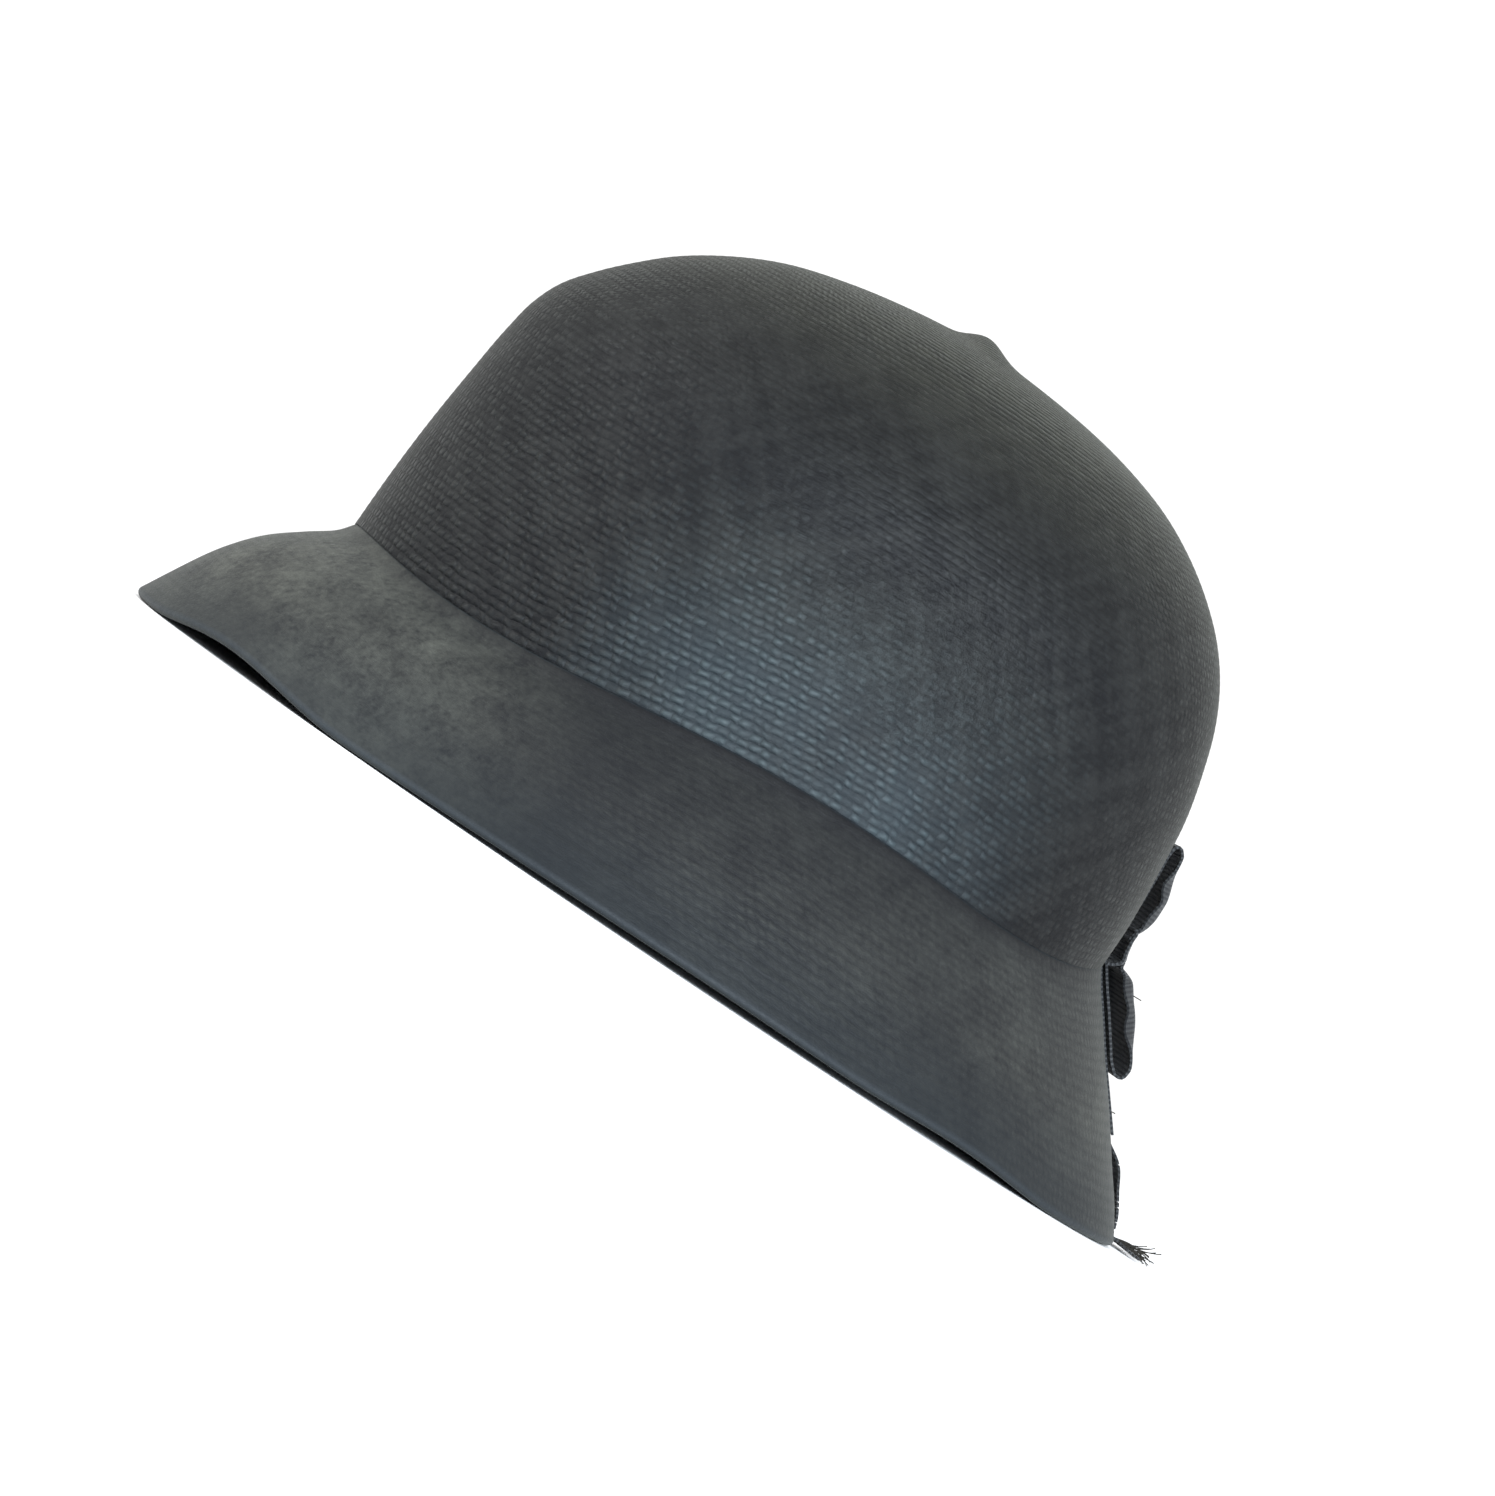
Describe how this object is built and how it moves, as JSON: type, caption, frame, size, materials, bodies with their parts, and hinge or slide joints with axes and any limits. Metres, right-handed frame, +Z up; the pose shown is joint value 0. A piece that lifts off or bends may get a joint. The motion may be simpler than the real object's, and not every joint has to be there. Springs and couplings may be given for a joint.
{
  "type": "cloche straw hat",
  "caption": "Close-fitting straw hat with a rounded crown, a downturned bell brim with its edge turned under, and a flat ribbon bow at the back.",
  "frame": {"origin": "On the surface that the brim's edge stands on, under the middle of the hat's bounding box.", "axes": "+Z up through the crown, -Y to the front of the hat, +Y to the bow at the back, +X to the wearer's left."},
  "size_m": [0.2256, 0.278, 0.1551],
  "materials": {
    "black_straw": "faded black straw, ribbed, half matte",
    "black_ribbon": "worn black ribbed ribbon, matte"
  },
  "bodies": {
    "root": {"crown": "black_straw", "brim": "black_straw", "bow_knot": "black_ribbon", "bow_loop_upper": "black_ribbon", "bow_loop_lower": "black_ribbon", "bow_tail_short": "black_ribbon", "bow_tail_long": "black_ribbon"}
  },
  "joints": []
}
